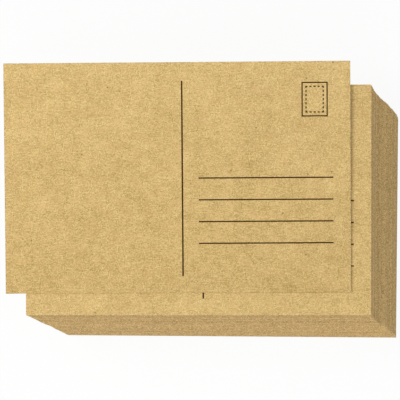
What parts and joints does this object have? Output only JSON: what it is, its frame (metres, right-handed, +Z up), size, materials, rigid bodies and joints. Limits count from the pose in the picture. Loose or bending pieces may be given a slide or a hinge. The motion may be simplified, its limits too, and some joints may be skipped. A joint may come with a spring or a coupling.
{
  "type": "pack of blank postcards",
  "caption": "Leaning pile of plain brown kraft postcards with one card lying loose and slightly curled on top; the cards slide out of the pile in layers and the loose card lifts off.",
  "frame": {"origin": "centre of the underside of the bottom card, on the surface the pile lies on", "axes": "+X along the cards' long edges, to the right when a card is read; +Y towards their top edge; +Z up, out of the written faces"},
  "size_m": [0.1776, 0.1265, 0.0442],
  "materials": {
    "loose_kraft": "matte",
    "stack_kraft": "matte"
  },
  "bodies": {
    "base_card": {"base_card": "stack_kraft"},
    "stack_bundle_01": {"stack_bundle_01": "stack_kraft"},
    "stack_bundle_02": {"stack_bundle_02": "stack_kraft"},
    "stack_bundle_03": {"stack_bundle_03": "stack_kraft"},
    "stack_bundle_04": {"stack_bundle_04": "stack_kraft"},
    "stack_bundle_05": {"stack_bundle_05": "stack_kraft"},
    "stack_bundle_06": {"stack_bundle_06": "stack_kraft"},
    "stack_bundle_07": {"stack_bundle_07": "stack_kraft"},
    "stack_bundle_08": {"stack_bundle_08": "stack_kraft"},
    "stack_bundle_09": {"stack_bundle_09": "stack_kraft"},
    "stack_bundle_10": {"stack_bundle_10": "stack_kraft"},
    "stack_card_01": {"stack_card_01": "stack_kraft"},
    "stack_card_02": {"stack_card_02": "stack_kraft"},
    "stack_card_03": {"stack_card_03": "stack_kraft"},
    "stack_card_04": {"stack_card_04": "stack_kraft"},
    "stack_card_05": {"stack_card_05": "stack_kraft"},
    "stack_card_06": {"stack_card_06": "stack_kraft"},
    "stack_card_07": {"stack_card_07": "stack_kraft"},
    "stack_card_08": {"stack_card_08": "stack_kraft"},
    "stack_card_09": {"stack_card_09": "stack_kraft"},
    "stack_card_10": {"stack_card_10": "stack_kraft"},
    "stack_card_11": {"stack_card_11": "stack_kraft"},
    "stack_card_12": {"stack_card_12": "stack_kraft"},
    "stack_card_13": {"stack_card_13": "stack_kraft"},
    "stack_card_14": {"stack_card_14": "stack_kraft"},
    "stack_card_15": {"stack_card_15": "stack_kraft"},
    "stack_card_16": {"stack_card_16": "stack_kraft"},
    "stack_card_17": {"stack_card_17": "stack_kraft"},
    "stack_card_18": {"stack_card_18": "stack_kraft"},
    "stack_card_19": {"stack_card_19": "stack_kraft"},
    "stack_card_20": {"stack_card_20": "stack_kraft"},
    "stack_card_21": {"stack_card_21": "stack_kraft"},
    "stack_card_22": {"stack_card_22": "stack_kraft"},
    "stack_card_23": {"stack_card_23": "stack_kraft"},
    "stack_card_24": {"stack_card_24": "stack_kraft"},
    "stack_card_25": {"stack_card_25": "stack_kraft"},
    "stack_card_26": {"stack_card_26": "stack_kraft"},
    "stack_card_27": {"stack_card_27": "stack_kraft"},
    "stack_card_28": {"stack_card_28": "stack_kraft"},
    "stack_card_29": {"stack_card_29": "stack_kraft"},
    "stack_card_30": {"stack_card_30": "stack_kraft"},
    "stack_card_31": {"stack_card_31": "stack_kraft"},
    "stack_card_32": {"stack_card_32": "stack_kraft"},
    "stack_card_33": {"stack_card_33": "stack_kraft"},
    "stack_card_34": {"stack_card_34": "stack_kraft"},
    "stack_card_35": {"stack_card_35": "stack_kraft"},
    "stack_card_36": {"stack_card_36": "stack_kraft"},
    "stack_card_37": {"stack_card_37": "stack_kraft"},
    "stack_card_38": {"stack_card_38": "stack_kraft"},
    "stack_card_39": {"stack_card_39": "stack_kraft"},
    "stack_card_40": {"stack_card_40": "stack_kraft"},
    "stack_card_41": {"stack_card_41": "stack_kraft"},
    "stack_card_42": {"stack_card_42": "stack_kraft"},
    "stack_card_43": {"stack_card_43": "stack_kraft"},
    "stack_card_44": {"stack_card_44": "stack_kraft"},
    "stack_card_45": {"stack_card_45": "stack_kraft"},
    "stack_card_46": {"stack_card_46": "stack_kraft"},
    "stack_card_47": {"stack_card_47": "stack_kraft"},
    "stack_card_48": {"stack_card_48": "stack_kraft"},
    "loose_card": {"loose_card": "loose_kraft"}
  },
  "joints": [
    {"name": "loose_card_lift", "type": "slide", "parent": "stack_card_48", "child": "loose_card", "axis": [0, 0, 1], "range_m": [0, 0.08]},
    {"name": "stack_card_48_slide", "type": "slide", "parent": "base_card", "child": "stack_card_48", "axis": [1, 0, 0], "range_m": [-0.05, 0.05]},
    {"name": "stack_card_47_slide", "type": "slide", "parent": "base_card", "child": "stack_card_47", "axis": [-1, 0, 0], "range_m": [-0.05, 0.05]},
    {"name": "stack_card_46_slide", "type": "slide", "parent": "base_card", "child": "stack_card_46", "axis": [1, 0, 0], "range_m": [-0.05, 0.05]},
    {"name": "stack_card_45_slide", "type": "slide", "parent": "base_card", "child": "stack_card_45", "axis": [-1, 0, 0], "range_m": [-0.05, 0.05]},
    {"name": "stack_card_44_slide", "type": "slide", "parent": "base_card", "child": "stack_card_44", "axis": [1, 0, 0], "range_m": [-0.05, 0.05]},
    {"name": "stack_card_43_slide", "type": "slide", "parent": "base_card", "child": "stack_card_43", "axis": [-1, 0, 0], "range_m": [-0.05, 0.05]},
    {"name": "stack_card_42_slide", "type": "slide", "parent": "base_card", "child": "stack_card_42", "axis": [1, 0, 0], "range_m": [-0.05, 0.05]},
    {"name": "stack_card_41_slide", "type": "slide", "parent": "base_card", "child": "stack_card_41", "axis": [-1, 0, 0], "range_m": [-0.05, 0.05]},
    {"name": "stack_card_40_slide", "type": "slide", "parent": "base_card", "child": "stack_card_40", "axis": [1, 0, 0], "range_m": [-0.05, 0.05]},
    {"name": "stack_card_39_slide", "type": "slide", "parent": "base_card", "child": "stack_card_39", "axis": [-1, 0, 0], "range_m": [-0.05, 0.05]},
    {"name": "stack_card_38_slide", "type": "slide", "parent": "base_card", "child": "stack_card_38", "axis": [1, 0, 0], "range_m": [-0.05, 0.05]},
    {"name": "stack_card_37_slide", "type": "slide", "parent": "base_card", "child": "stack_card_37", "axis": [-1, 0, 0], "range_m": [-0.05, 0.05]},
    {"name": "stack_card_36_slide", "type": "slide", "parent": "base_card", "child": "stack_card_36", "axis": [1, 0, 0], "range_m": [-0.05, 0.05]},
    {"name": "stack_card_35_slide", "type": "slide", "parent": "base_card", "child": "stack_card_35", "axis": [-1, 0, 0], "range_m": [-0.05, 0.05]},
    {"name": "stack_card_34_slide", "type": "slide", "parent": "base_card", "child": "stack_card_34", "axis": [1, 0, 0], "range_m": [-0.05, 0.05]},
    {"name": "stack_card_33_slide", "type": "slide", "parent": "base_card", "child": "stack_card_33", "axis": [-1, 0, 0], "range_m": [-0.05, 0.05]},
    {"name": "stack_card_32_slide", "type": "slide", "parent": "base_card", "child": "stack_card_32", "axis": [1, 0, 0], "range_m": [-0.05, 0.05]},
    {"name": "stack_card_31_slide", "type": "slide", "parent": "base_card", "child": "stack_card_31", "axis": [-1, 0, 0], "range_m": [-0.05, 0.05]},
    {"name": "stack_card_30_slide", "type": "slide", "parent": "base_card", "child": "stack_card_30", "axis": [1, 0, 0], "range_m": [-0.05, 0.05]},
    {"name": "stack_card_29_slide", "type": "slide", "parent": "base_card", "child": "stack_card_29", "axis": [-1, 0, 0], "range_m": [-0.05, 0.05]},
    {"name": "stack_card_28_slide", "type": "slide", "parent": "base_card", "child": "stack_card_28", "axis": [1, 0, 0], "range_m": [-0.05, 0.05]},
    {"name": "stack_card_27_slide", "type": "slide", "parent": "base_card", "child": "stack_card_27", "axis": [-1, 0, 0], "range_m": [-0.05, 0.05]},
    {"name": "stack_card_26_slide", "type": "slide", "parent": "base_card", "child": "stack_card_26", "axis": [1, 0, 0], "range_m": [-0.05, 0.05]},
    {"name": "stack_card_25_slide", "type": "slide", "parent": "base_card", "child": "stack_card_25", "axis": [-1, 0, 0], "range_m": [-0.05, 0.05]},
    {"name": "stack_card_24_slide", "type": "slide", "parent": "base_card", "child": "stack_card_24", "axis": [1, 0, 0], "range_m": [-0.05, 0.05]},
    {"name": "stack_card_23_slide", "type": "slide", "parent": "base_card", "child": "stack_card_23", "axis": [-1, 0, 0], "range_m": [-0.05, 0.05]},
    {"name": "stack_card_22_slide", "type": "slide", "parent": "base_card", "child": "stack_card_22", "axis": [1, 0, 0], "range_m": [-0.05, 0.05]},
    {"name": "stack_card_21_slide", "type": "slide", "parent": "base_card", "child": "stack_card_21", "axis": [-1, 0, 0], "range_m": [-0.05, 0.05]},
    {"name": "stack_card_20_slide", "type": "slide", "parent": "base_card", "child": "stack_card_20", "axis": [1, 0, 0], "range_m": [-0.05, 0.05]},
    {"name": "stack_card_19_slide", "type": "slide", "parent": "base_card", "child": "stack_card_19", "axis": [-1, 0, 0], "range_m": [-0.05, 0.05]},
    {"name": "stack_card_18_slide", "type": "slide", "parent": "base_card", "child": "stack_card_18", "axis": [1, 0, 0], "range_m": [-0.05, 0.05]},
    {"name": "stack_card_17_slide", "type": "slide", "parent": "base_card", "child": "stack_card_17", "axis": [-1, 0, 0], "range_m": [-0.05, 0.05]},
    {"name": "stack_card_16_slide", "type": "slide", "parent": "base_card", "child": "stack_card_16", "axis": [1, 0, 0], "range_m": [-0.05, 0.05]},
    {"name": "stack_card_15_slide", "type": "slide", "parent": "base_card", "child": "stack_card_15", "axis": [-1, 0, 0], "range_m": [-0.05, 0.05]},
    {"name": "stack_card_14_slide", "type": "slide", "parent": "base_card", "child": "stack_card_14", "axis": [1, 0, 0], "range_m": [-0.05, 0.05]},
    {"name": "stack_card_13_slide", "type": "slide", "parent": "base_card", "child": "stack_card_13", "axis": [-1, 0, 0], "range_m": [-0.05, 0.05]},
    {"name": "stack_card_12_slide", "type": "slide", "parent": "base_card", "child": "stack_card_12", "axis": [1, 0, 0], "range_m": [-0.05, 0.05]},
    {"name": "stack_card_11_slide", "type": "slide", "parent": "base_card", "child": "stack_card_11", "axis": [-1, 0, 0], "range_m": [-0.05, 0.05]},
    {"name": "stack_card_10_slide", "type": "slide", "parent": "base_card", "child": "stack_card_10", "axis": [1, 0, 0], "range_m": [-0.05, 0.05]},
    {"name": "stack_card_09_slide", "type": "slide", "parent": "base_card", "child": "stack_card_09", "axis": [-1, 0, 0], "range_m": [-0.05, 0.05]},
    {"name": "stack_card_08_slide", "type": "slide", "parent": "base_card", "child": "stack_card_08", "axis": [1, 0, 0], "range_m": [-0.05, 0.05]},
    {"name": "stack_card_07_slide", "type": "slide", "parent": "base_card", "child": "stack_card_07", "axis": [-1, 0, 0], "range_m": [-0.05, 0.05]},
    {"name": "stack_card_06_slide", "type": "slide", "parent": "base_card", "child": "stack_card_06", "axis": [1, 0, 0], "range_m": [-0.05, 0.05]},
    {"name": "stack_card_05_slide", "type": "slide", "parent": "base_card", "child": "stack_card_05", "axis": [-1, 0, 0], "range_m": [-0.05, 0.05]},
    {"name": "stack_card_04_slide", "type": "slide", "parent": "base_card", "child": "stack_card_04", "axis": [1, 0, 0], "range_m": [-0.05, 0.05]},
    {"name": "stack_card_03_slide", "type": "slide", "parent": "base_card", "child": "stack_card_03", "axis": [-1, 0, 0], "range_m": [-0.05, 0.05]},
    {"name": "stack_card_02_slide", "type": "slide", "parent": "base_card", "child": "stack_card_02", "axis": [1, 0, 0], "range_m": [-0.05, 0.05]},
    {"name": "stack_card_01_slide", "type": "slide", "parent": "base_card", "child": "stack_card_01", "axis": [-1, 0, 0], "range_m": [-0.05, 0.05]},
    {"name": "stack_bundle_10_slide", "type": "slide", "parent": "base_card", "child": "stack_bundle_10", "axis": [1, 0, 0], "range_m": [-0.05, 0.05]},
    {"name": "stack_bundle_09_slide", "type": "slide", "parent": "base_card", "child": "stack_bundle_09", "axis": [-1, 0, 0], "range_m": [-0.05, 0.05]},
    {"name": "stack_bundle_08_slide", "type": "slide", "parent": "base_card", "child": "stack_bundle_08", "axis": [1, 0, 0], "range_m": [-0.05, 0.05]},
    {"name": "stack_bundle_07_slide", "type": "slide", "parent": "base_card", "child": "stack_bundle_07", "axis": [-1, 0, 0], "range_m": [-0.05, 0.05]},
    {"name": "stack_bundle_06_slide", "type": "slide", "parent": "base_card", "child": "stack_bundle_06", "axis": [1, 0, 0], "range_m": [-0.05, 0.05]},
    {"name": "stack_bundle_05_slide", "type": "slide", "parent": "base_card", "child": "stack_bundle_05", "axis": [-1, 0, 0], "range_m": [-0.05, 0.05]},
    {"name": "stack_bundle_04_slide", "type": "slide", "parent": "base_card", "child": "stack_bundle_04", "axis": [1, 0, 0], "range_m": [-0.05, 0.05]},
    {"name": "stack_bundle_03_slide", "type": "slide", "parent": "base_card", "child": "stack_bundle_03", "axis": [-1, 0, 0], "range_m": [-0.05, 0.05]},
    {"name": "stack_bundle_02_slide", "type": "slide", "parent": "base_card", "child": "stack_bundle_02", "axis": [1, 0, 0], "range_m": [-0.05, 0.05]},
    {"name": "stack_bundle_01_slide", "type": "slide", "parent": "base_card", "child": "stack_bundle_01", "axis": [-1, 0, 0], "range_m": [-0.05, 0.05]}
  ]
}
